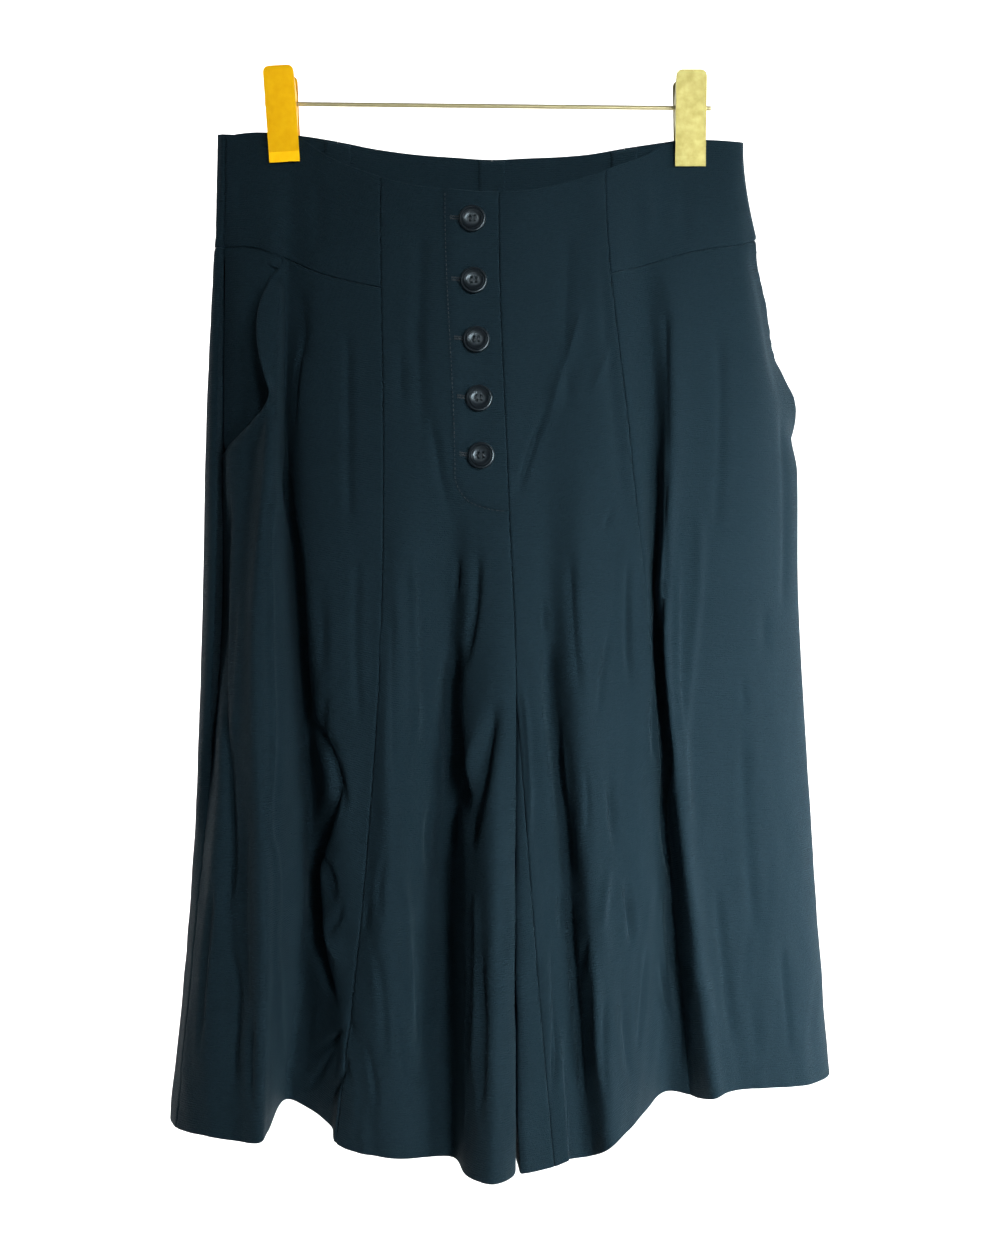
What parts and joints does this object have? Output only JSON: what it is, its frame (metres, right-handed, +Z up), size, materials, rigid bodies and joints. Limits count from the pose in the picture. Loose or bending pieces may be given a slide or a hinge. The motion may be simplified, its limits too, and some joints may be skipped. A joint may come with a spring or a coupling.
{
  "type": "culottes on a clip hanger",
  "caption": "Wide cropped trousers with side yokes, a buttoned fly and flared hems, hung by the waist from two spring clips on a thin rod.",
  "frame": {"origin": "middle of the hanger's rod, on its axis", "axes": "+X to the right as seen from the front and along the rod, +Y from the front to the back, +Z up"},
  "size_m": [0.4544, 0.1554, 0.7351],
  "materials": {
    "crepe": "matt crepe with a fine crosswise rib",
    "button": "polished",
    "gold": "brushed"
  },
  "bodies": {
    "root": {"front_centre_left": "crepe", "front_centre_right": "crepe", "front_yoke_left": "crepe", "front_yoke_right": "crepe", "side_front_left": "crepe", "side_front_right": "crepe", "pocket_left": "crepe", "pocket_right": "crepe", "back_yoke_left": "crepe", "back_yoke_right": "crepe", "side_back_left": "crepe", "side_back_right": "crepe", "back_centre_left": "crepe", "back_centre_right": "crepe", "fly_placket": "crepe", "fly_underlap": "crepe", "button_1": "button", "button_2": "button", "button_3": "button", "button_4": "button", "button_5": "button", "hanger_rod": "gold", "clip_left_front_jaw": "gold", "clip_left_back_jaw": "gold", "clip_left_sleeve": "gold", "clip_right_front_jaw": "gold", "clip_right_back_jaw": "gold", "clip_right_sleeve": "gold"}
  },
  "joints": []
}
